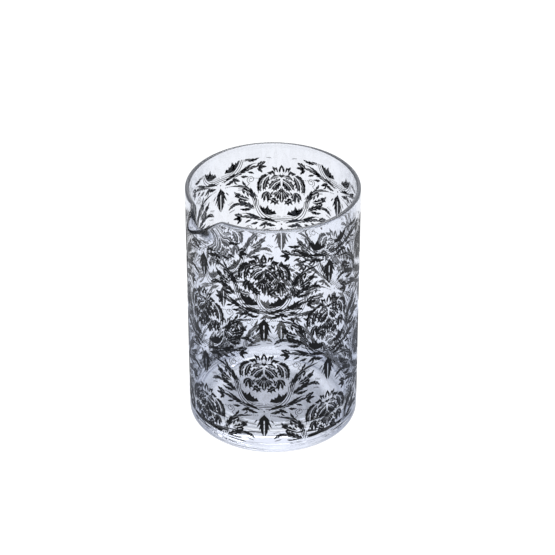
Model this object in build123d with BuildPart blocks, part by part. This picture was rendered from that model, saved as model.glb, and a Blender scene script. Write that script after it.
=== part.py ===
"""A stirring glass for mixing drinks: one piece of clear glass with a pulled pouring lip,
and a fired-on black enamel print of flowers, scrolls and lance leaves round its wall.

Units are millimetres. +Z is up, the origin is the centre of the foot on the table plane, and
the pouring lip points along -Y. The glass and the print are both mirror images across X = 0.
"""

import math
import os

from build123d import *

# ---- the glass ----
OUTER_DIAMETER = 91.0
HEIGHT = 140.0
WALL = 2.2
FLOOR_THICKNESS = 9.0
FLOOR_FILLET = 14.0
HEEL_RADIUS = 3.3
FOOT_RING_WIDTH = 6.0
PUNT_DEPTH = 1.2
PUNT_FLAT_RADIUS = 20.0

OUTER_RADIUS = OUTER_DIAMETER / 2
INNER_RADIUS = OUTER_RADIUS - WALL
MIDDLE_RADIUS = OUTER_RADIUS - WALL / 2
FOOT_RADIUS = OUTER_RADIUS - HEEL_RADIUS

# ---- the pouring lip ----
# The wall above LIP_START bends outward round an arc. The bend is full on the lip's centre
# line and fades to nothing at LIP_HALF_ANGLE each side of it.
LIP_FACING = -90.0
LIP_START = 122.0
LIP_BEND_RADIUS = 10.6
LIP_BEND_ANGLE = 80.0
LIP_HALF_ANGLE = 17.5
LIP_SECTOR_HALF_ANGLE = 22.5
LIP_SECTIONS = 15
LIP_SHEET_LENGTH = HEIGHT - WALL / 2 - LIP_START
# The lip's own piece of wall is a hair thinner than the plain wall and is let into it below and
# at both sides, so that the two join cleanly.
LIP_INSET = 0.08
LIP_ROOT = 0.5
LIP_OVERLAP_ANGLE = 0.5

# ---- the print: a layer of enamel on the outside of the wall ----
PRINT_THICKNESS = 0.1
PRINT_BOTTOM = 8.5
PRINT_TOP = 131.0
PRISM_REACH = 4.0

# The pattern is a half-drop repeat of one motif, measured from the centre of its flower.
COLUMN_COUNT = 8
COLUMN_ANGLE = 360 / COLUMN_COUNT
ROW_PITCH = 60.7
FLOWER_HEIGHTS_ON_LIP_COLUMNS = [22.3, 22.3 + ROW_PITCH, 22.3 + 2 * ROW_PITCH]
FLOWER_HEIGHTS_BETWEEN = [52.8, 52.8 + ROW_PITCH]

# Each leaf below is (base, tip, width, sweep), with X round the wall and Y up it. Sweep is how
# far the leaf's middle stands to the left of its straight line. A leaf in a "SIDE" list has a
# mirror image on the other side of the flower; a leaf in a "CENTRE" list has none.
CENTRE_PETALS = [
    ((0, 7.2), (0, 12.4), 1.9, 0),
    ((-3.4, 5.0), (3.4, 5.0), 1.5, -1.6),
]
SIDE_PETALS = [
    ((1.5, 7.3), (4.2, 11.3), 1.6, -0.3),
    ((3.2, 6.2), (7.6, 8.0), 1.8, -0.4),
]
CENTRE_LEAVES = [
    ((0, -3.0), (0, -10.4), 2.6, 0),
]
SIDE_LEAVES = [
    ((8.4, 5.0), (12.4, -4.4), 4.0, 1.6),
    ((2.8, 2.7), (7.7, 2.3), 1.7, 0.7),
    ((1.0, 1.0), (7.6, -2.8), 2.6, 0.5),
    ((1.4, -3.0), (4.8, -8.4), 2.4, 0.7),
    ((9.2, -5.6), (9.2, -11.0), 3.6, 0.0),
]
SIDE_CRESCENTS = [
    ((12.3, -12.8), (2.6, -18.4), 2.7, 1.2),
]
CENTRE_LANCES = [
    ((0, -27.6), (0, -39.4), 3.0, 0),
]
SIDE_LANCES = [
    ((1.4, -27.9), (4.1, -33.4), 1.7, 0.5),
    ((9.0, -23.6), (3.2, -25.2), 1.6, 0.6),
]
SIDE_ACANTHUS = [
    ((16.0, -7.2), (28.2, 0.8), 2.2, 2.2),
    ((16.8, -9.0), (27.6, -4.4), 2.7, -0.5),
    ((15.8, -13.2), (30.4, -12.4), 2.7, 1.2),
    ((9.4, -22.0), (25.6, -18.6), 2.2, 1.6),
]
SIDE_STEMS = [
    ((0.6, -21.8), (14.4, -8.2), 0.9, -4.5),
]


def bent_sheet(share, bend):
    """Where the wall's middle surface is, as (radius, height), and its direction up the wall."""
    full_turn = math.radians(LIP_BEND_ANGLE)
    turn = full_turn * share
    radius = MIDDLE_RADIUS + bend * LIP_BEND_RADIUS * (1 - math.cos(turn))
    rise = (1 - bend) * LIP_SHEET_LENGTH * share + bend * LIP_BEND_RADIUS * math.sin(turn)
    outward_slope = bend * LIP_BEND_RADIUS * full_turn * math.sin(turn)
    upward_slope = (1 - bend) * LIP_SHEET_LENGTH + bend * LIP_BEND_RADIUS * full_turn * math.cos(turn)
    return Vector(radius, LIP_START + rise), Vector(outward_slope, upward_slope).normalized()


def sheet_points(offset, bend, top_share=1.0, steps=6):
    """Points up the bent wall, at a distance outward from its middle surface."""
    points = []
    for step in range(steps + 1):
        middle, direction = bent_sheet(top_share * step / steps, bend)
        points.append(middle + Vector(direction.Y, -direction.X) * offset)
    return points


def lip_sections():
    """The planes through the axis on which the lip's sections stand, each with its bend."""
    sections = []
    for index in range(LIP_SECTIONS):
        turn = (LIP_SECTOR_HALF_ANGLE + LIP_OVERLAP_ANGLE) * (2 * index / (LIP_SECTIONS - 1) - 1)
        fade = min(abs(turn) / LIP_HALF_ANGLE, 1)
        sections.append((radial_plane(LIP_FACING + turn), math.cos(math.pi / 2 * fade) ** 2))
    return sections


def radial_plane(angle):
    """The plane through the axis whose X points outward at an angle and whose Y points up."""
    outward = Vector(math.cos(math.radians(angle)), math.sin(math.radians(angle)), 0)
    return Plane(origin=(0, 0, 0), x_dir=outward, z_dir=outward.cross(Vector(0, 0, 1)))


def rim_section(plane, bend, inset=0.0, root=0.0):
    """The wall's section above LIP_START, closed by a fire-polished round rim."""
    outside = sheet_points(WALL / 2 - inset, bend)
    inside = sheet_points(inset - WALL / 2, bend)
    middle, direction = bent_sheet(1.0, bend)
    down = Vector(0, -root)
    with BuildSketch(plane) as section:
        with BuildLine():
            Spline(*outside)
            ThreePointArc(outside[-1], middle + direction * (WALL / 2 - inset), inside[-1])
            Spline(*reversed(inside))
            if root:
                Polyline(inside[0], inside[0] + down, outside[0] + down, outside[0])
            else:
                Line(inside[0], outside[0])
        make_face()
    return section.sketch


with BuildPart() as glass_vessel:
    # Foot, thick floor and straight wall, up to where the lip starts to bend.
    with BuildSketch(Plane.XZ):
        with BuildLine():
            Polyline(
                (PUNT_FLAT_RADIUS, PUNT_DEPTH),
                (0, PUNT_DEPTH),
                (0, FLOOR_THICKNESS),
                (INNER_RADIUS - FLOOR_FILLET, FLOOR_THICKNESS),
            )
            RadiusArc(
                (INNER_RADIUS - FLOOR_FILLET, FLOOR_THICKNESS),
                (INNER_RADIUS, FLOOR_THICKNESS + FLOOR_FILLET),
                -FLOOR_FILLET,
            )
            Polyline(
                (INNER_RADIUS, FLOOR_THICKNESS + FLOOR_FILLET),
                (INNER_RADIUS, LIP_START),
                (OUTER_RADIUS, LIP_START),
                (OUTER_RADIUS, HEEL_RADIUS),
            )
            RadiusArc((OUTER_RADIUS, HEEL_RADIUS), (FOOT_RADIUS, 0), HEEL_RADIUS)
            Line((FOOT_RADIUS, 0), (FOOT_RADIUS - FOOT_RING_WIDTH, 0))
            TangentArc(
                (PUNT_FLAT_RADIUS, PUNT_DEPTH),
                (FOOT_RADIUS - FOOT_RING_WIDTH, 0),
                tangent=(1, 0),
            )
        make_face()
    revolve(axis=Axis.Z)
    # The plain rim, everywhere but the lip's sector.
    add(rim_section(radial_plane(LIP_FACING + LIP_SECTOR_HALF_ANGLE), 0.0))
    revolve(axis=Axis.Z, revolution_arc=360 - 2 * LIP_SECTOR_HALF_ANGLE)
    # The pouring lip.
    for plane, bend in lip_sections():
        add(rim_section(plane, bend, LIP_INSET, LIP_ROOT))
    loft()

with BuildPart() as plain_layer:
    # A long plain tube of enamel: whole islands of the print are cut from it once, then copied.
    with BuildSketch(Plane.XY.offset(-HEIGHT / 2)):
        Circle(OUTER_RADIUS + PRINT_THICKNESS)
        Circle(OUTER_RADIUS, mode=Mode.SUBTRACT)
    extrude(amount=HEIGHT)

with BuildPart() as banded_layer:
    # All the space that enamel can fill on the real wall: cut islands come from this layer. It
    # stops short of the lip, because nothing is printed where the wall bends.
    with BuildSketch(Plane.XY.offset(PRINT_BOTTOM)):
        Circle(OUTER_RADIUS + PRINT_THICKNESS)
        Circle(OUTER_RADIUS, mode=Mode.SUBTRACT)
    extrude(amount=LIP_START - PRINT_BOTTOM)
    with BuildSketch(radial_plane(LIP_FACING + LIP_SECTOR_HALF_ANGLE)):
        with BuildLine():
            Polyline(
                (OUTER_RADIUS, LIP_START),
                (OUTER_RADIUS + PRINT_THICKNESS, LIP_START),
                (OUTER_RADIUS + PRINT_THICKNESS, PRINT_TOP),
                (OUTER_RADIUS, PRINT_TOP),
                close=True,
            )
        make_face()
    revolve(axis=Axis.Z, revolution_arc=360 - 2 * LIP_SECTOR_HALF_ANGLE)


def wall_plane(angle, around, height):
    """The plane touching the wall at a distance round it from an angle, with its Y pointing up."""
    radial = radial_plane(angle + math.degrees(around / OUTER_RADIUS))
    origin = radial.x_dir * OUTER_RADIUS + Vector(0, 0, height)
    return Plane(origin=origin, x_dir=-radial.z_dir, z_dir=radial.x_dir)


def leaf_prism(leaf, side, angle, flower_height):
    """A leaf of the motif as a radial prism through the wall."""
    base, tip = Vector(*leaf[0]), Vector(*leaf[1])
    width, sweep = leaf[2:]
    middle = (base + tip) / 2
    half = (tip - base) / 2
    left = Vector(-half.Y, half.X).normalized()
    with BuildPart() as prism:
        with BuildSketch(wall_plane(angle, side * middle.X, flower_height + middle.Y)) as face:
            with BuildLine():
                ThreePointArc(-half, left * (sweep + width / 2), half)
                ThreePointArc(half, left * (sweep - width / 2), -half)
            make_face()
            if side < 0:
                mirror(face.faces(), about=Plane.YZ, mode=Mode.REPLACE)
        extrude(amount=PRISM_REACH, both=True)
    return prism.part


def cut_island(prism, layer):
    """The enamel island that a prism cuts from a layer, in as many solids as it leaves."""
    with BuildPart() as island:
        add(prism)
        add(layer, mode=Mode.INTERSECT)
    return island.part.solids()


def islands(leaves, sides):
    """Every island of the print that these leaves of the motif make, all round the wall."""
    found = []
    reach = OUTER_RADIUS * math.sin(math.radians(LIP_SECTOR_HALF_ANGLE))
    for leaf in leaves:
        for side in sides:
            whole = cut_island(leaf_prism(leaf, side, 0, 0), plain_layer.part)
            box = whole[0].bounding_box()
            for column in range(COLUMN_COUNT):
                heights = FLOWER_HEIGHTS_BETWEEN if column % 2 else FLOWER_HEIGHTS_ON_LIP_COLUMNS
                for height in heights:
                    low, high = height + box.min.Z, height + box.max.Z
                    on_lip = column == 0 and low > LIP_START and box.max.Y < reach and -box.min.Y < reach
                    if high < PRINT_BOTTOM or low > PRINT_TOP or on_lip:
                        continue
                    top = LIP_START if column == 0 else PRINT_TOP
                    angle = LIP_FACING + COLUMN_ANGLE * column
                    if low > PRINT_BOTTOM and high < top:
                        found += [solid.moved(Location((0, 0, height), (0, 0, angle))) for solid in whole]
                    else:
                        found += cut_island(leaf_prism(leaf, side, angle, height), banded_layer.part)
    return found


with BuildPart() as print_petals:
    add(islands(CENTRE_PETALS, [1]) + islands(SIDE_PETALS, [1, -1]), mode=Mode.REPLACE)

with BuildPart() as print_flower_leaves:
    add(islands(CENTRE_LEAVES, [1]) + islands(SIDE_LEAVES, [1, -1]), mode=Mode.REPLACE)

with BuildPart() as print_crescents:
    add(islands(SIDE_CRESCENTS, [1, -1]), mode=Mode.REPLACE)

with BuildPart() as print_lance_leaves:
    add(islands(CENTRE_LANCES, [1]) + islands(SIDE_LANCES, [1, -1]), mode=Mode.REPLACE)

with BuildPart() as print_acanthus_leaves:
    add(islands(SIDE_ACANTHUS, [1, -1]), mode=Mode.REPLACE)

with BuildPart() as print_stems:
    add(islands(SIDE_STEMS, [1, -1]), mode=Mode.REPLACE)

NODES = {
    "glass_vessel": glass_vessel,
    "print_petals": print_petals,
    "print_flower_leaves": print_flower_leaves,
    "print_crescents": print_crescents,
    "print_lance_leaves": print_lance_leaves,
    "print_acanthus_leaves": print_acanthus_leaves,
    "print_stems": print_stems,
}

os.makedirs("parts", exist_ok=True)
for name, node in NODES.items():
    node.part.label = name
    export_step(node.part, f"parts/{name}.step")
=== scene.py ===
import math

import bpy
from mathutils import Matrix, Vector
from mathutils.geometry import delaunay_2d_cdt


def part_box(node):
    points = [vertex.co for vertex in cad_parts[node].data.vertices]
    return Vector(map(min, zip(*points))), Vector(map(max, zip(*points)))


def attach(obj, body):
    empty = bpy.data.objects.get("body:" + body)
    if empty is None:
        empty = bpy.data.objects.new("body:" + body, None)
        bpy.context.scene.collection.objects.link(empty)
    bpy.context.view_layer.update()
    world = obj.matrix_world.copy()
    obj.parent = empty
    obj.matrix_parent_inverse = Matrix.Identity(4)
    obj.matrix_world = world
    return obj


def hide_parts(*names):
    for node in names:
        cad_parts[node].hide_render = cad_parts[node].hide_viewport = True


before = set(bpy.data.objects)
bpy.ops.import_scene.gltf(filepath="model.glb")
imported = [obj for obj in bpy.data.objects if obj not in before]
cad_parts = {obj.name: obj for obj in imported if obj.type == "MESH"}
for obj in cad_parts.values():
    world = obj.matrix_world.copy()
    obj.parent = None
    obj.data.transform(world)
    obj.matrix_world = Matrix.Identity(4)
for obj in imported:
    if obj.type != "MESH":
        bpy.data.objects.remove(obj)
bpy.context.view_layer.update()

# ---------------------------------------------------------------- sizes, in metres
MM = 0.001
OUTER_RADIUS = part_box("glass_vessel")[1].x
HEIGHT = 140.0 * MM
WALL = 2.2 * MM
MIDDLE_RADIUS = OUTER_RADIUS - WALL / 2
INNER_RADIUS = OUTER_RADIUS - WALL

# The base: its thickness, the round corners inside and outside, and the foot that it rests on.
FLOOR_TOP = 9.0 * MM
FLOOR_FILLET = 14.0 * MM
HEEL_RADIUS = 3.3 * MM
FOOT_RING_WIDTH = 6.0 * MM
PUNT_DEPTH = 1.2 * MM

# The pouring lip: the wall's middle surface bends outwards from LIP_START on, most at the lip's middle.
LIP_FACING = -math.pi / 2
LIP_START = 122.0 * MM
LIP_BEND_RADIUS = 10.6 * MM
LIP_BEND_ANGLE = math.radians(80)
LIP_HALF_ANGLE = math.radians(17.5)
LIP_SHEET = HEIGHT - WALL / 2 - LIP_START


def lip_bend(angle):
    """How far the wall follows the lip's bend at an angle round the axis, 0 to 1."""
    turn = (angle - LIP_FACING + math.pi) % (2 * math.pi) - math.pi
    return math.cos(math.pi / 2 * min(abs(turn) / LIP_HALF_ANGLE, 1)) ** 2


def sheet(share, bend, offset):
    """(radius, height) at a share of the wall above LIP_START, offset from its middle."""
    turn = LIP_BEND_ANGLE * share
    radius = MIDDLE_RADIUS + bend * LIP_BEND_RADIUS * (1 - math.cos(turn))
    height = LIP_START + (1 - bend) * LIP_SHEET * share + bend * LIP_BEND_RADIUS * math.sin(turn)
    out = bend * LIP_BEND_RADIUS * LIP_BEND_ANGLE * math.sin(turn)
    up = (1 - bend) * LIP_SHEET + bend * LIP_BEND_RADIUS * LIP_BEND_ANGLE * math.cos(turn)
    length = math.hypot(out, up)
    return radius + up / length * offset, height - out / length * offset


def wall_point(angle, height, offset):
    """The point on the wall at an angle and a height along its sheet, offset from its outside."""
    if height <= LIP_START:
        radius, z = OUTER_RADIUS + offset, height
    else:
        radius, z = sheet((height - LIP_START) / LIP_SHEET, lip_bend(angle), WALL / 2 + offset)
    return radius * math.cos(angle), radius * math.sin(angle), z


def link(name, vertices, faces, smooth=True):
    """A new mesh object in the scene."""
    mesh = bpy.data.meshes.new(name)
    mesh.from_pydata(vertices, [], faces)
    mesh.update()
    if smooth:
        mesh.polygons.foreach_set("use_smooth", [True] * len(mesh.polygons))
    thing = bpy.data.objects.new(name, mesh)
    bpy.context.collection.objects.link(thing)
    return thing


# ---------------------------------------------------------------- the glass
# How finely its section is divided, and how many sections stand round the axis.
STRAIGHT_STEPS = 12
LIP_STEPS = 14
ARC_STEPS = 10
AROUND = 360
# The foot ring's flat has a loop of points just inside each of its edges, which keeps it flat.
RING_LOOP_INSIDE = 0.5 * MM
RING_LOOP_OUTSIDE = 0.4 * MM
# The rim leans as the lip's sheet does from this share of its height to its end.
JUST_BELOW_RIM = 0.999


def arc(centre, radius, start, end):
    """Points on an arc in the (radius, height) plane, from one angle to another in degrees."""
    points = []
    for step in range(ARC_STEPS + 1):
        turn = math.radians(start + (end - start) * step / ARC_STEPS)
        points.append((centre[0] + radius * math.cos(turn), centre[1] + radius * math.sin(turn)))
    return points


def straight(start, end):
    """Points on a line in the (radius, height) plane, without its start."""
    points = []
    for step in range(1, STRAIGHT_STEPS + 1):
        share = step / STRAIGHT_STEPS
        points.append(tuple(a + (b - a) * share for a, b in zip(start, end)))
    return points


def glass_profile(bend):
    """The glass's section from the punt out, up the wall, over the rim and down to the floor's middle."""
    ring_outside = OUTER_RADIUS - HEEL_RADIUS
    ring_inside = ring_outside - FOOT_RING_WIDTH
    points = []
    for step in range(1, STRAIGHT_STEPS + 1):
        share = step / STRAIGHT_STEPS
        points.append((ring_inside * share, PUNT_DEPTH * (1 - share ** 3)))
    points += [(ring_inside + RING_LOOP_INSIDE, 0), (ring_outside - RING_LOOP_OUTSIDE, 0)]
    points += arc((ring_outside, HEEL_RADIUS), HEEL_RADIUS, -90, 0)
    points += straight((OUTER_RADIUS, HEEL_RADIUS), (OUTER_RADIUS, LIP_START))
    for step in range(1, LIP_STEPS + 1):
        points.append(sheet(step / LIP_STEPS, bend, WALL / 2))
    crown = sheet(1, bend, 0)
    below = sheet(JUST_BELOW_RIM, bend, 0)
    lean = math.degrees(math.atan2(crown[1] - below[1], crown[0] - below[0]))
    points += arc(crown, WALL / 2, lean - 90, lean + 90)[1:-1]
    for step in range(LIP_STEPS, -1, -1):
        points.append(sheet(step / LIP_STEPS, bend, -WALL / 2))
    corner = FLOOR_TOP + FLOOR_FILLET
    flat = INNER_RADIUS - FLOOR_FILLET
    points += straight((INNER_RADIUS, LIP_START), (INNER_RADIUS, corner))[:-1]
    points += arc((flat, corner), FLOOR_FILLET, 0, -90)
    points += straight((flat, FLOOR_TOP), (0, FLOOR_TOP))[:-1]
    return points


def build_glass():
    """The glass as one closed mesh: its section turned round the axis, and bent at the lip."""
    vertices, faces = [], []
    for index in range(AROUND):
        angle = 2 * math.pi * index / AROUND
        for radius, height in glass_profile(lip_bend(angle)):
            vertices.append((radius * math.cos(angle), radius * math.sin(angle), height))
    count = len(vertices) // AROUND
    punt_middle = len(vertices)
    floor_middle = punt_middle + 1
    vertices += [(0, 0, PUNT_DEPTH), (0, 0, FLOOR_TOP)]
    for index in range(AROUND):
        here, there = index * count, (index + 1) % AROUND * count
        faces.append((punt_middle, there, here))
        faces.append((floor_middle, here + count - 1, there + count - 1))
        for step in range(count - 1):
            faces.append((here + step, there + step, there + step + 1, here + step + 1))
    return link("clear_glass_vessel", vertices, faces)


glass = build_glass()
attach(glass, "root")
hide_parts("glass_vessel")

# ---------------------------------------------------------------- the print
# One motif, in millimetres from the middle of its flower, repeats in columns that drop by half.
# The flowers' middles are at these heights in the lip's column and every second one, and in the others.
COLUMNS = 8
ROW_PITCH = 60.7
LIP_COLUMN_HEIGHTS = [22.3 + ROW_PITCH * row for row in range(3)]
BETWEEN_HEIGHTS = [52.8 + ROW_PITCH * row for row in range(2)]
# The printed band. Shapes that are nearer the lip's middle than LIP_REACH stop below the lip's bend.
PRINT_BOTTOM = 8.5
PRINT_TOP = 131.0
LIP_REACH = 15.5
# The enamel lies from just under to just over the glass's outside.
INK_OUTSIDE = 0.07 * MM
INK_INSIDE = -0.02 * MM
# The spacing of the print's points, and how near two points have to be to count as one.
GRID = 1.5
WELD = 1e-4
# The clear veins in the flower's leaves: their width at the start and at the end.
VEIN = 0.21
VEIN_END = 0.12
# The first lobe of a leaf begins after this share of a lobe's length. A lobe's points are given as
# (share of its length, share of the leaf's half width), and a notch comes before the next lobe's.
LOBE_FOOT = 0.35
LOBE_BACK = (0.28, 0.8)
LOBE_SHOULDER = (0.62, 1.0)
LOBE_POINT = (1.02, 1.12)
LAST_LOBE_POINT = (1.02, 0.97)
NOTCH = 0.86
# No lobe reaches past this share of the leaf, and a leaf without lobes has this many stretches.
LAST_SHARE = 0.985
SMOOTH_STEPS = 10
# Below 1, this fills a leaf out towards its ends.
LEAF_ROUNDNESS = 0.85
# The vein down a leaf's middle: where it runs, as shares of the leaf's length, and its taper.
SPINE_START = 0.02
SPINE_LENGTH = 0.9
SPINE_STEPS = 8
SPINE_TAPER = 1.1
# A tooth in an edge that is long enough: its points as (share of the edge, share of the tooth's depth).
TOOTH = ((0.4, 0.2), (0.5, -0.7), (0.55, 1.0))
TOOTHED_LENGTH = 1.3
# A short stroke narrows to this share of its width.
DASH_TAPER = 0.6


def along(base, tip, sweep, share):
    """A point on a curved spine and the spine's left-hand normal there."""
    base, tip = Vector(base), Vector(tip)
    line = tip - base
    left = Vector((-line.y, line.x)).normalized()
    control = (base + tip) / 2 + left * 2 * sweep
    point = base * (1 - share) ** 2 + control * 2 * share * (1 - share) + tip * share ** 2
    slope = (control - base) * (1 - share) + (tip - control) * share
    return point, Vector((-slope.y, slope.x)).normalized()


def leaf_edge(base, tip, width, sweep, side, lobes, depth, fat):
    """One side of a leaf from base to tip: smooth, or cut into forward-pointing lobes."""

    def at(share, reach):
        point, left = along(base, tip, sweep, share)
        half = width / 2 * math.sin(math.pi * share ** fat) ** LEAF_ROUNDNESS
        return point + left * side * half * reach

    if not lobes:
        return [at(step / SMOOTH_STEPS, 1) for step in range(1, SMOOTH_STEPS)]
    points = []
    for lobe in range(lobes):
        last = lobe == lobes - 1
        start = (lobe + LOBE_FOOT) / (lobes + LOBE_FOOT)
        size = 1 / (lobes + LOBE_FOOT)
        for share, reach in (LOBE_BACK, LOBE_SHOULDER, LAST_LOBE_POINT if last else LOBE_POINT):
            points.append(at(min(start + share * size, LAST_SHARE), reach))
        if not last:
            points.append(at(start + NOTCH * size, 1 - depth))
    return points


def leaf(base, tip, width, sweep=0, left=0, right=0, depth=0.5, vein=0, fat=0.8):
    """A leaf as one outline, or as two halves with a clear vein between them.

    Sweep bows its spine to the left. Left and right are the lobes on its sides, and depth is how far
    they are cut apart. With a smaller fat the leaf is widest nearer its base.
    """
    edges = [
        leaf_edge(base, tip, width, sweep, side, lobes, depth, fat)
        for side, lobes in ((1, left), (-1, right))
    ]
    if not vein:
        return [[Vector(base)] + edges[0] + [Vector(tip)] + edges[1][::-1]]
    halves = []
    for side, edge in zip((1, -1), edges):
        spine = []
        for step in range(SPINE_STEPS + 1):
            share = SPINE_START + SPINE_LENGTH * step / SPINE_STEPS
            point, normal = along(base, tip, sweep, share)
            spine.append(point + normal * side * vein / 2 * (SPINE_TAPER - share))
        halves.append(edge + [Vector(tip)] + spine[::-1])
    return halves


def ribbon(points, width, end_width=None, steps=5):
    """A smooth stroke through some points, tapering to its end width."""
    points = [Vector(point) for point in points]
    end_width = width if end_width is None else end_width
    path = []
    padded = [points[0] * 2 - points[1]] + points + [points[-1] * 2 - points[-2]]
    for index in range(len(points) - 1):
        a, b, c, d = padded[index:index + 4]
        for step in range(steps):
            t = step / steps
            path.append(0.5 * (2 * b + (c - a) * t + (2 * a - 5 * b + 4 * c - d) * t ** 2
                               + (3 * b - a - 3 * c + d) * t ** 3))
    path.append(points[-1])
    left, right = [], []
    for index, point in enumerate(path):
        slope = path[min(index + 1, len(path) - 1)] - path[max(index - 1, 0)]
        normal = Vector((-slope.y, slope.x)).normalized()
        half = (width + (end_width - width) * index / (len(path) - 1)) / 2
        left.append(point + normal * half)
        right.append(point - normal * half)
    return [left + right[::-1]]


def spiral(centre, start, turn, size, shrink, count):
    """Points round a centre, some degrees apart, that come nearer by a step each time."""
    points = []
    for step in range(count):
        angle = math.radians(start + turn * step)
        reach = size - shrink * step
        points.append((centre[0] + reach * math.cos(angle), centre[1] + reach * math.sin(angle)))
    return points


def dot(centre, radius, sides=9):
    """A small round island."""
    return [[Vector(point) for point in spiral(centre, 0, 360 / sides, radius, 0, sides)]]


def dashes(start, step, count, stroke, width):
    """A row of short parallel strokes."""
    found = []
    for index in range(count):
        x, y = start[0] + step[0] * index, start[1] + step[1] * index
        found += ribbon([(x, y), (x + stroke[0], y + stroke[1])], width, width * DASH_TAPER, 1)
    return found


def outline(*points, tooth=0.0):
    """A leaf given point by point, with a small tooth cut into each long edge."""
    points = [Vector(point) for point in points]
    turn = sum(a.cross(b) for a, b in zip(points, points[1:] + points[:1]))
    edge = []
    for start, end in zip(points, points[1:] + points[:1]):
        edge.append(start)
        along_edge = end - start
        if tooth and along_edge.length > TOOTHED_LENGTH:
            inward = Vector((-along_edge.y, along_edge.x)).normalized() * math.copysign(tooth, turn)
            edge += [start + along_edge * share + inward * deep for share, deep in TOOTH]
    return [edge]


def both(shapes):
    """The shapes and their mirror images."""
    return shapes + [[Vector((-point.x, point.y)) for point in shape[::-1]] for shape in shapes]


def petals():
    """The crown of petals on top of the flower, each dark round a clear middle."""
    side = outline((0, 12.8), (1.0, 11.3), (1.7, 9.6), (1.4, 8.0), (0.6, 8.5), (0.4, 10.0), (0, 11.1))
    side += outline(
        (1.9, 7.9), (2.1, 9.4), (2.6, 11.1), (3.6, 10.7), (5.1, 11.7), (5.0, 10.3), (4.4, 9.2), (3.6, 7.9),
        (3.4, 8.8), (3.6, 9.7), (3.0, 9.5), (2.7, 8.4),
    )
    side += outline(
        (3.5, 6.7), (3.9, 8.0), (4.9, 9.2), (5.9, 8.6), (8.1, 7.8), (7.0, 6.8), (5.4, 6.2), (5.7, 7.0),
        (5.0, 7.3), (4.3, 6.5),
    )
    side += outline((0, 4.6), (1.0, 5.3), (2.2, 6.7), (1.2, 6.2), (0.9, 7.0), (0, 6.2))
    side += dashes((0.5, 7.4), (0.75, 0.0), 2, (0.3, 0.4), 0.3)
    return both(side)


def flower_leaves():
    """The flower's body: drooping leaves round a clear centre line."""
    side = outline(
        (7.0, 6.5), (8.8, 7.2), (10.8, 6.6), (12.4, 4.8), (13.5, 2.2), (13.7, -0.6), (13.0, -5.1),
        (12.1, -2.9), (11.3, -4.3), (11.1, -1.2), (10.9, 1.4), (10.0, 3.6), (8.6, 5.2),
        tooth=0.4,
    )
    side += outline(
        (6.4, 5.9), (8.1, 5.0), (9.5, 3.3), (10.4, 1.2), (10.6, -1.0), (10.2, -3.8), (9.4, -2.2),
        (8.7, -3.2), (8.5, -1.0), (7.5, -1.3), (7.9, 0.7), (6.7, 0.6), (7.3, 2.6), (6.3, 3.0), (6.9, 4.4),
        tooth=0.28,
    )
    side += leaf((1.0, 5.2), (6.2, 3.2), 2.7, 0.9, 2, 3, 0.35, 0.35)
    side += outline(
        (0.6, 4.1), (2.8, 3.8), (4.7, 2.6), (5.4, 2.9), (6.3, 1.0), (7.1, 0.4), (6.9, -1.2), (7.6, -2.6),
        (6.0, -2.2), (5.4, -1.0), (3.4, 1.5), (0.9, 2.9),
        tooth=0.25,
    )
    side += outline(
        (0.5, 2.5), (2.9, 1.3), (4.9, -1.0), (5.8, -2.9), (4.7, -2.6), (4.5, -4.0), (3.3, -2.9),
        (2.6, -3.7), (2.2, -2.2), (1.4, -2.4), (1.2, -0.8), (0.4, -0.5),
        tooth=0.2,
    )
    side += outline(
        (8.3, -3.7), (9.9, -4.2), (10.9, -5.4), (11.5, -8.4), (10.3, -7.8), (10.1, -10.6), (8.9, -9.2),
        (8.6, -6.4), (8.2, -9.0), (7.6, -11.5), (6.9, -9.4), (5.7, -9.9), (6.1, -7.9), (5.0, -7.4),
        (6.1, -5.4), (7.0, -4.2),
        tooth=0.25,
    )
    side += outline(
        (5.6, -8.4), (4.4, -7.9), (3.2, -8.2), (2.9, -9.5), (1.2, -9.4), (2.0, -10.8), (1.3, -12.2),
        (3.0, -11.6), (3.8, -13.0), (4.5, -11.0), (6.4, -12.2), (5.8, -10.2),
        tooth=0.2,
    )
    side += outline((4.4, -3.9), (5.4, -4.3), (6.1, -5.2), (5.2, -6.6), (4.9, -5.0))
    side += outline(
        (0, -1.0), (1.3, -2.9), (2.5, -4.0), (4.2, -4.7), (5.1, -6.2), (3.8, -6.1), (4.2, -8.0),
        (2.9, -7.2), (2.6, -9.2), (1.5, -8.2), (1.0, -10.0), (0, -11.4), (0.2, -8.0), (0, -4.0),
        tooth=0.2,
    )
    return both(side)


def flower_veins():
    """The clear lines inside the flower's leaves."""
    spines = [
        [(9.6, 4.6), (11.4, 2.6), (12.4, -0.4)],
        [(11.2, 1.4), (11.9, -0.4), (12.1, -2.2)],
        [(7.5, 4.7), (8.9, 2.0), (9.4, -1.0)],
        [(1.6, 4.9), (3.7, 4.6), (5.4, 3.6)],
        [(1.6, 3.5), (3.9, 2.4), (5.5, 0.3), (6.4, -1.0)],
        [(1.2, 1.8), (3.1, 0.0), (4.2, -1.9)],
        [(8.3, -4.5), (9.6, -6.0), (10.1, -8.0)],
        [(7.1, -4.9), (6.6, -6.8), (6.4, -8.6)],
        [(1.6, -3.8), (3.0, -5.2), (3.9, -5.6)],
        [(1.0, -4.2), (2.1, -5.7), (2.7, -7.0)],
        [(0.7, -4.8), (1.2, -6.7), (1.4, -7.9)],
        [(5.0, -9.1), (3.8, -10.2), (2.6, -10.9)],
    ]
    side = []
    for spine in spines:
        side += ribbon(spine, VEIN, VEIN_END)
    return both(side)


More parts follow.
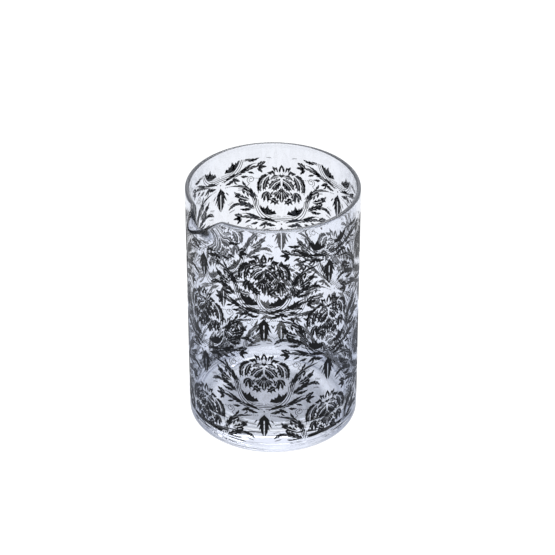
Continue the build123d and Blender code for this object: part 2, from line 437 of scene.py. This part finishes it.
def crescents():
    """The jagged crescents that lie in the frame under the flower."""
    side = outline(
        (12.1, -12.0), (11.0, -13.2), (10.4, -14.2), (9.8, -13.3), (9.2, -14.8), (8.4, -13.8),
        (7.5, -12.4), (7.2, -14.4), (6.3, -15.7), (5.6, -15.0), (5.2, -16.7), (3.9, -16.0), (2.9, -18.3),
        (4.8, -18.6), (6.8, -19.0), (8.8, -18.3), (10.7, -16.4), (11.7, -14.2),
    )
    return both(side)


def lances():
    """The pointed, lobed leaf that hangs between two flowers, and small leaves beside it."""
    half = outline(
        (0, -26.4), (0.9, -27.8), (1.9, -28.9), (3.0, -30.6), (2.4, -30.7), (3.0, -32.0), (4.2, -35.6),
        (3.0, -34.3), (2.3, -33.0), (2.4, -34.4), (2.9, -37.2), (2.0, -36.0), (1.8, -38.2), (1.1, -39.6),
        (0.3, -41.2), (0.28, -38.6), (0.3, -30.8), (0, -30.4),
    )
    half += leaf((3.6, -30.2), (5.4, -32.6), 0.7)
    side = leaf((9.2, -23.7), (3.2, -25.6), 2.3, 0.5, 3, 2, 0.5)
    side += leaf((10.9, -20.9), (2.2, -24.0), 2.0, -0.7, 4, 4, 0.45)
    return both(half + side)


def acanthus():
    """The arms of leaves that spring from both sides of the frame."""
    side = leaf((13.9, -13.4), (29.2, 2.6), 2.6, 5.0, 6, 3, 0.5, 0.3, 0.85)
    side += leaf((15.2, -7.6), (17.6, -1.2), 2.6, -0.3, 3, 2, 0.45)
    side += leaf((19.6, 0.4), (21.9, 4.6), 1.7, -0.3, 2, 1, 0.4)
    side += leaf((24.6, 2.6), (27.0, 5.2), 1.1, -0.2, 1, 1, 0.4)
    side += leaf((17.6, -8.0), (27.0, -1.0), 3.4, -1.3, 4, 4, 0.5, 0.42, 0.75)
    side += leaf((20.9, -4.2), (22.0, -0.6), 1.6, 0.1, 2, 1, 0.4)
    side += leaf((22.8, -3.6), (26.7, -4.6), 2.6, 0.3, 2, 2, 0.4)
    side += leaf((18.2, -6.4), (19.8, -2.6), 1.3, 0.1, 1, 2, 0.4)
    side += leaf((14.6, -14.6), (29.4, -9.6), 3.0, 2.2, 6, 5, 0.5, 0.35, 0.75)
    side += leaf((19.6, -10.6), (24.6, -6.8), 2.3, -0.4, 3, 2, 0.45)
    side += leaf((25.0, -8.9), (30.6, -12.0), 2.3, 0.6, 3, 3, 0.45, 0.25)
    side += leaf((16.6, -13.9), (23.6, -12.8), 2.0, -0.5, 2, 4, 0.5)
    side += leaf((8.0, -22.8), (24.6, -17.6), 2.6, 0.9, 5, 7, 0.5, 0.32, 0.8)
    side += leaf((12.6, -21.0), (20.4, -16.0), 1.9, 0.4, 4, 2, 0.5)
    side += leaf((22.0, -18.3), (27.0, -15.4), 3.0, 0.2, 3, 2, 0.4, 0.3, 0.9)
    side += leaf((22.6, -19.0), (27.6, -18.6), 2.3, 0.3, 2, 2, 0.4, 0, 0.9)
    side += leaf((22.2, -19.2), (25.2, -22.2), 2.0, 0.3, 2, 2, 0.4, 0, 0.9)
    side += leaf((7.6, -22.9), (12.6, -25.7), 2.3, -0.2, 4, 2, 0.45)
    side += leaf((12.8, -22.9), (17.4, -23.6), 1.7, -0.2, 3, 2, 0.45)
    side += leaf((16.8, -20.7), (20.6, -22.4), 1.5, 0.2, 1, 3, 0.45)
    return both(side)


def stems():
    """The frame's fine lines, spirals and rows of short strokes."""
    side = ribbon([(0, -20.9), (5.6, -20.5), (10.0, -17.4), (12.4, -12.8), (13.0, -8.6)], 0.34)
    side += ribbon([(0, -21.9), (6.2, -21.5), (10.9, -18.1), (13.4, -13.0), (13.9, -8.2)], 0.4)
    side += ribbon([(0.9, -23.0), (6.8, -22.6), (11.9, -19.0), (14.4, -13.2), (14.8, -7.6)], 0.34)
    side += ribbon([(15.0, -12.4), (16.6, -6.6), (19.8, -1.9), (24.4, 0.3)], 0.34, 0.24)
    side += ribbon([(15.5, -13.4), (20.4, -10.2), (25.4, -9.9)], 0.32, 0.22)
    side += ribbon([(12.6, -19.6), (17.6, -16.9), (22.0, -15.9)], 0.32, 0.22)
    side += ribbon([(16.8, -6.0), (20.9, -1.9), (24.6, -0.7)], 0.3, 0.22)
    curl = spiral((17.0, 4.4), -70, 38, 2.4, 0.12, 15)
    side += ribbon([(20.0, -0.1), (18.9, 1.2)] + curl, 0.3, 0.22, 2)
    side += dot(curl[-1], 0.32)
    side += dashes((13.2, -7.2), (0.55, 0.35), 4, (0.6, 1.7), 0.3)
    side += dashes((27.6, -7.6), (0.8, -0.35), 4, (1.0, 0.8), 0.28)
    side += dashes((26.8, -12.2), (0.8, -0.2), 4, (0.9, -0.9), 0.28)
    side += dashes((3.2, -27.4), (1.15, -0.1), 6, (0.55, 0.35), 0.42)
    side += dashes((0.7, -20.2), (0.75, 0.05), 8, (0.35, 1.0), 0.24)
    side += dashes((18.6, -24.6), (1.1, -0.2), 5, (0.5, -0.5), 0.4)
    centre = dot((0, -24.6), 0.4)
    return centre + both(side)


def clip(edge, limit, keep_above):
    """The part of an outline above or below a height."""
    kept = []
    for index, point in enumerate(edge):
        before = edge[index - 1]
        inside = (point.y > limit) == keep_above
        was_inside = (before.y > limit) == keep_above
        if inside != was_inside:
            share = (limit - before.y) / (point.y - before.y)
            kept.append(before.lerp(point, share))
        if inside:
            kept.append(point)
    return kept


def fine(edge):
    """An outline with no stretch longer than the grid, running anticlockwise."""
    if sum(a.cross(b) for a, b in zip(edge, edge[1:] + edge[:1])) < 0:
        edge = edge[::-1]
    points = []
    for index, point in enumerate(edge):
        after = edge[(index + 1) % len(edge)]
        parts = max(1, math.ceil((after - point).length / GRID))
        points += [point.lerp(after, part / parts) for part in range(parts)]
    return points


def triangles(outlines, cuts):
    """A fine triangulation of all that the outlines cover and no cut does: (points, faces)."""
    points, loops = [], []
    for edge in map(fine, outlines + cuts):
        loops.append(list(range(len(points), len(points) + len(edge))))
        points += edge
    if not points:
        return [], []
    low = Vector((min(p.x for p in points), min(p.y for p in points)))
    high = Vector((max(p.x for p in points), max(p.y for p in points)))
    for row in range(int((high.y - low.y) / GRID)):
        for step in range(int((high.x - low.x) / GRID)):
            points.append(low + Vector((step + 0.5, row + 0.5)) * GRID)
    points, _, faces, _, _, covered = delaunay_2d_cdt(points, [], loops, 0, WELD)
    return points, [face for face, by in zip(faces, covered) if by and max(by) < len(outlines)]


def print_outlines(shapes, height, on_lip):
    """The motif's outlines at a height on the wall, cut to the printed band and kept off the lip."""
    found = []
    for shape in shapes:
        near = on_lip and min(abs(point.x) for point in shape) < LIP_REACH
        edge = [Vector((point.x, point.y + height)) for point in shape]
        edge = clip(edge, PRINT_BOTTOM, True)
        edge = clip(edge, LIP_START / MM if near else PRINT_TOP, False)
        if len(edge) > 2:
            found.append(edge)
    return found


def wrap(vertices, faces, points, flat_faces, middle):
    """Adds a flat triangulation to a mesh, as a thin closed layer of enamel round an angle on the wall."""
    used = sorted({index for face in flat_faces for index in face})
    place = {index: len(vertices) + number for number, index in enumerate(used)}
    count = len(used)
    for offset in (INK_OUTSIDE, INK_INSIDE):
        for index in used:
            angle = middle + points[index].x * MM / OUTER_RADIUS
            vertices.append(wall_point(angle, points[index].y * MM, offset))
    borders = set()
    for face in flat_faces:
        a, b, c = (place[index] for index in face)
        faces.append((a, b, c))
        faces.append((c + count, b + count, a + count))
        for start, end in ((a, b), (b, c), (c, a)):
            if (end, start) in borders:
                borders.remove((end, start))
            else:
                borders.add((start, end))
    for start, end in sorted(borders):
        faces.append((end, start, start + count, end + count))


def build_print(name, shapes, node, cuts=()):
    """One motif's islands of enamel all round the wall, each a thin closed solid."""
    flat = {}
    vertices, faces = [], []
    for column in range(COLUMNS):
        middle = LIP_FACING + 2 * math.pi * column / COLUMNS
        for height in BETWEEN_HEIGHTS if column % 2 else LIP_COLUMN_HEIGHTS:
            key = height, column == 0
            if key not in flat:
                flat[key] = triangles(print_outlines(shapes, *key), print_outlines(cuts, *key))
            wrap(vertices, faces, *flat[key], middle)
    piece = link(name, vertices, faces, smooth=False)
    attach(piece, "root")
    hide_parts(node)
    return piece


prints = [
    build_print("enamel_petals", petals(), "print_petals"),
    build_print("enamel_flower_leaves", flower_leaves(), "print_flower_leaves", flower_veins()),
    build_print("enamel_crescents", crescents(), "print_crescents"),
    build_print("enamel_lance_leaves", lances(), "print_lance_leaves"),
    build_print("enamel_acanthus_leaves", acanthus(), "print_acanthus_leaves"),
    build_print("enamel_stems", stems(), "print_stems"),
]

# ---------------------------------------------------------------- materials
# Ranges are (from low, from high, to low, to high).
GLASS_TINT = (0.93, 0.95, 1.0, 1)
GLASS_INDEX = 1.5
# Light turns bluer on a long way through the glass.
GLASS_DEPTH_TINT = (0.72, 0.76, 0.95, 1)
GLASS_DEPTH_DENSITY = 2.0
# The fire-polished rim is made a little milky so that it reads lighter, a painted highlight: the clear
# share by height.
RIM_PAINTED_HIGHLIGHT = (136.5 * MM, 138.6 * MM, 1.0, 0.9)
# The pressed base is faintly rippled in rings: their share by height, and by distance from the axis.
RINGS_LOW = (11.0 * MM, 14.0 * MM, 1.0, 0.0)
RINGS_OUT = (26.0 * MM, 32.0 * MM, 0.0, 1.0)
RING_SPACING = 4.5 * MM
RING_WAVER = 1.5
RING_WAVER_SCALE = 0.3
RING_HEIGHT = 1.0 * MM
RING_STRENGTH = 0.09
# At a scale of 1 the wave texture turns by this many radians in a metre.
WAVE_RADIANS = 20
# The fired enamel is black, satin and a little uneven, with a fine grain.
INK_DARK = (0.0015, 0.0017, 0.0025, 1)
INK_PALE = (0.004, 0.0045, 0.006, 1)
INK_GRAIN = 900
INK_ROUGHNESS = (0.3, 0.7, 0.28, 0.42)
INK_SHINE = 0.15
INK_BUMP = 0.01 * MM
INK_BUMP_STRENGTH = 0.3


def map_range(nodes, links, source, limits, smooth=False):
    """A value carried from one range to another."""
    node = nodes.new("ShaderNodeMapRange")
    if smooth:
        node.interpolation_type = "SMOOTHSTEP"
    for socket, value in zip(("From Min", "From Max", "To Min", "To Max"), limits):
        node.inputs[socket].default_value = value
    links.new(source, node.inputs["Value"])
    return node.outputs["Result"]


def product(nodes, links, one, other):
    """The product of two values."""
    node = nodes.new("ShaderNodeMath")
    node.operation = "MULTIPLY"
    links.new(one, node.inputs[0])
    links.new(other, node.inputs[1])
    return node.outputs["Value"]


def vector_math(nodes, links, operation, source, other=(0, 0, 0)):
    """A node that calculates with a vector and a fixed one."""
    node = nodes.new("ShaderNodeVectorMath")
    node.operation = operation
    node.inputs[1].default_value = other
    links.new(source, node.inputs[0])
    return node


def bump(nodes, links, surface, height, distance, strength):
    """Gives a surface a relief."""
    node = nodes.new("ShaderNodeBump")
    node.inputs["Distance"].default_value = distance
    node.inputs["Strength"].default_value = strength
    links.new(height, node.inputs["Height"])
    links.new(node.outputs["Normal"], surface.inputs["Normal"])


def new_material(name):
    """A material with its nodes, its links and its surface."""
    material = bpy.data.materials.new(name)
    material.use_nodes = True
    tree = material.node_tree
    return material, tree.nodes, tree.links, tree.nodes["Principled BSDF"]


def glass_material():
    """Clear glass, faintly blue, with a rim made milky as a painted highlight, and a rippled base."""
    material, nodes, links, surface = new_material("clear_glass")
    surface.inputs["Base Color"].default_value = GLASS_TINT
    surface.inputs["Roughness"].default_value = 0.0
    surface.inputs["IOR"].default_value = GLASS_INDEX
    surface.inputs["Transmission Weight"].default_value = 1.0
    place = nodes.new("ShaderNodeTexCoord")
    split = nodes.new("ShaderNodeSeparateXYZ")
    links.new(place.outputs["Object"], split.inputs[0])
    level = split.outputs["Z"]
    flat = vector_math(nodes, links, "MULTIPLY", place.outputs["Object"], (1, 1, 0))
    reach = vector_math(nodes, links, "LENGTH", flat.outputs["Vector"]).outputs["Value"]
    # A painted highlight: near the top of the rim the glass lets less light through, so the rim reads
    # lighter.
    links.new(map_range(nodes, links, level, RIM_PAINTED_HIGHLIGHT), surface.inputs["Transmission Weight"])
    rings = nodes.new("ShaderNodeTexWave")
    rings.wave_type = "RINGS"
    rings.rings_direction = "Z"
    rings.inputs["Scale"].default_value = 2 * math.pi / (WAVE_RADIANS * RING_SPACING)
    rings.inputs["Distortion"].default_value = RING_WAVER
    rings.inputs["Detail Scale"].default_value = RING_WAVER_SCALE
    links.new(place.outputs["Object"], rings.inputs["Vector"])
    height = product(nodes, links, rings.outputs["Fac"], map_range(nodes, links, level, RINGS_LOW))
    height = product(nodes, links, height, map_range(nodes, links, reach, RINGS_OUT))
    bump(nodes, links, surface, height, RING_HEIGHT, RING_STRENGTH)
    absorb = nodes.new("ShaderNodeVolumeAbsorption")
    absorb.inputs["Color"].default_value = GLASS_DEPTH_TINT
    absorb.inputs["Density"].default_value = GLASS_DEPTH_DENSITY
    links.new(absorb.outputs["Volume"], nodes["Material Output"].inputs["Volume"])
    return material


def enamel_material():
    """Black enamel, fired on: its colour, roughness and relief follow one fine grain."""
    material, nodes, links, surface = new_material("black_enamel")
    noise = nodes.new("ShaderNodeTexNoise")
    noise.inputs["Scale"].default_value = INK_GRAIN
    grain = noise.outputs["Fac"]
    shade = nodes.new("ShaderNodeValToRGB")
    shade.color_ramp.elements[0].color = INK_DARK
    shade.color_ramp.elements[1].color = INK_PALE
    links.new(grain, shade.inputs["Fac"])
    links.new(shade.outputs["Color"], surface.inputs["Base Color"])
    links.new(map_range(nodes, links, grain, INK_ROUGHNESS), surface.inputs["Roughness"])
    surface.inputs["Specular IOR Level"].default_value = INK_SHINE
    bump(nodes, links, surface, grain, INK_BUMP, INK_BUMP_STRENGTH)
    return material


glass.data.materials.append(glass_material())
enamel = enamel_material()
for piece in prints:
    piece.data.materials.append(enamel)

# ---------------------------------------------------------------- floor, light and camera
# The camera's place and turns, in metres and radians. Its distance is level, from the axis.
CAMERA_AZIMUTH = math.radians(51.0)
CAMERA_DISTANCE = 1.001
CAMERA_HEIGHT = 0.731
CAMERA_PITCH = 0.5745
CAMERA_YAW = 0.00235
# Its lens and sensor, in millimetres.
CAMERA_LENS = 145.946
SENSOR_WIDTH = 36.0
# Light runs round inside the thick base many times before it leaves.
BOUNCES = 32

# The light, in metres and watts.
SOFTBOX_PLACE = (0.1, 0.3, 1.3)
SOFTBOX_SIZE = 1.2
SOFTBOX_WATTS = 14

# The table: half its side, how far it lies below the foot, its surface, and how much of it glows.
FLOOR_HALF = 3.0
FLOOR_DROP = 0.0002
FLOOR_COLOUR = (0.9, 0.9, 0.9, 1)
FLOOR_ROUGHNESS = 0.9
FLOOR_GLOW_SHARE = 0.9
# What the camera sees of the table and the room.
WHITE = (1.15, 1.15, 1.15, 1)
# A Mix node's colour sockets, by number, because each type of data has the same names.
MIX_FIRST, MIX_SECOND, MIX_RESULT = 6, 7, 2
# Colours of the table by distance from the axis, in metres: painted rings of light and shade near the
# foot, and painted shade far off.
TABLE_RINGS = (
    (0.0, (0.54, 0.55, 0.59)),
    (0.022, (0.42, 0.43, 0.46)),
    (0.027, (0.50, 0.51, 0.54)),
    (0.031, (0.92, 0.93, 0.95)),
    (0.035, (0.86, 0.87, 0.90)),
    (0.040, (0.48, 0.50, 0.54)),
    (0.045, (0.68, 0.70, 0.74)),
    (0.053, (0.48, 0.50, 0.54)),
    (0.066, (0.86, 0.88, 0.92)),
    (0.13, (1.0, 1.0, 1.0)),
    (0.7, (0.62, 0.65, 0.72)),
)
# Painted shade on the table by distance to the side of the line of sight, darker and bluer to the sides,
# and its share by distance from the axis.
TABLE_SIDE_SHADE = (
    (0.032, (1.0, 1.0, 1.0)),
    (0.075, (0.62, 0.67, 0.80)),
    (0.25, (0.36, 0.40, 0.52)),
)
TABLE_SIDE_SHADE_SHARE = (0.09, 0.2, 1.0, 0.25)
# Colours of the room by how far to the side of the line of sight a direction points.
ROOM_FLAGS = (
    (0.3, (0.96, 0.98, 1.03)),
    (0.62, (0.46, 0.49, 0.57)),
    (1.0, (0.30, 0.33, 0.40)),
)


def ramp(nodes, links, source, stops):
    """A smooth colour ramp through (position, colour) stops."""
    node = nodes.new("ShaderNodeValToRGB")
    node.color_ramp.interpolation = "EASE"
    elements = node.color_ramp.elements
    while len(elements) < len(stops):
        elements.new(0.5)
    for element, (position, _) in zip(elements, stops):
        element.position = position
    for element, (_, colour) in zip(elements, stops):
        element.color = (*colour, 1)
    links.new(source, node.inputs["Fac"])
    return node.outputs["Color"]


def sideways(nodes, links, source):
    """How far to the side of the camera's line of sight a direction or place lies."""
    side = (math.cos(CAMERA_AZIMUTH), math.sin(CAMERA_AZIMUTH), 0)
    size = nodes.new("ShaderNodeMath")
    size.operation = "ABSOLUTE"
    links.new(vector_math(nodes, links, "DOT_PRODUCT", source, side).outputs["Value"], size.inputs[0])
    return size.outputs["Value"]


def seen_white(nodes, links, colour):
    """The colour for light that has met the glass, and plain white for the camera."""
    path = nodes.new("ShaderNodeLightPath")
    pick = nodes.new("ShaderNodeMix")
    pick.data_type = "RGBA"
    links.new(path.outputs["Is Camera Ray"], pick.inputs["Factor"])
    links.new(colour, pick.inputs[MIX_FIRST])
    pick.inputs[MIX_SECOND].default_value = WHITE
    return pick.outputs[MIX_RESULT]


def build_floor():
    """A white table: even to the eye, and shaded round the foot for light that has met the glass."""
    low, high = -FLOOR_HALF, FLOOR_HALF
    corners = [(low, low, 0), (high, low, 0), (high, high, 0), (low, high, 0)]
    floor = link("floor", corners, [(0, 1, 2, 3)], smooth=False)
    floor.location.z = -FLOOR_DROP
    material, nodes, links, surface = new_material("white_floor")
    surface.inputs["Base Color"].default_value = FLOOR_COLOUR
    surface.inputs["Roughness"].default_value = FLOOR_ROUGHNESS
    place = nodes.new("ShaderNodeTexCoord").outputs["Object"]
    reach = vector_math(nodes, links, "LENGTH", place).outputs["Value"]
    shade = nodes.new("ShaderNodeMix")
    shade.data_type = "RGBA"
    shade.blend_type = "MULTIPLY"
    # Painted shade to the sides of the line of sight near the foot, multiplied onto the painted rings of
    # light and shade.
    links.new(map_range(nodes, links, reach, TABLE_SIDE_SHADE_SHARE, smooth=True), shade.inputs["Factor"])
    links.new(ramp(nodes, links, reach, TABLE_RINGS), shade.inputs[MIX_FIRST])
    links.new(ramp(nodes, links, sideways(nodes, links, place), TABLE_SIDE_SHADE), shade.inputs[MIX_SECOND])
    glow = nodes.new("ShaderNodeEmission")
    links.new(seen_white(nodes, links, shade.outputs[MIX_RESULT]), glow.inputs["Color"])
    mix = nodes.new("ShaderNodeMixShader")
    mix.inputs["Fac"].default_value = FLOOR_GLOW_SHARE
    links.new(surface.outputs["BSDF"], mix.inputs[1])
    links.new(glow.outputs["Emission"], mix.inputs[2])
    links.new(mix.outputs["Shader"], nodes["Material Output"].inputs["Surface"])
    floor.data.materials.append(material)


def build_world():
    """A white room behind and in front of the glass, with dark flags at its sides."""
    world = bpy.data.worlds.new("studio")
    bpy.context.scene.world = world
    world.use_nodes = True
    nodes, links = world.node_tree.nodes, world.node_tree.links
    place = nodes.new("ShaderNodeTexCoord").outputs["Generated"]
    flags = ramp(nodes, links, sideways(nodes, links, place), ROOM_FLAGS)
    links.new(seen_white(nodes, links, flags), nodes["Background"].inputs["Color"])


def build_light():
    """One square softbox overhead, turned to the glass's middle."""
    light = bpy.data.lights.new("overhead_softbox", "AREA")
    light.size = SOFTBOX_SIZE
    light.energy = SOFTBOX_WATTS
    lamp = bpy.data.objects.new("overhead_softbox", light)
    lamp.location = SOFTBOX_PLACE
    towards = Vector((0, 0, HEIGHT / 2)) - lamp.location
    lamp.rotation_euler = towards.to_track_quat("-Z", "Y").to_euler()
    bpy.context.collection.objects.link(lamp)


def build_camera():
    """The camera, and the scene's own settings for colour and light paths."""
    lens = bpy.data.cameras.new("camera")
    lens.sensor_width = SENSOR_WIDTH
    lens.lens = CAMERA_LENS
    camera = bpy.data.objects.new("camera", lens)
    camera.location = (
        CAMERA_DISTANCE * math.sin(CAMERA_AZIMUTH),
        -CAMERA_DISTANCE * math.cos(CAMERA_AZIMUTH),
        CAMERA_HEIGHT,
    )
    camera.rotation_euler = (math.pi / 2 - CAMERA_PITCH, 0, CAMERA_AZIMUTH - CAMERA_YAW)
    bpy.context.collection.objects.link(camera)
    scene = bpy.context.scene
    scene.camera = camera
    scene.view_settings.view_transform = "Standard"
    scene.cycles.max_bounces = BOUNCES
    scene.cycles.glossy_bounces = BOUNCES
    scene.cycles.transmission_bounces = BOUNCES


build_floor()
build_world()
build_light()
build_camera()
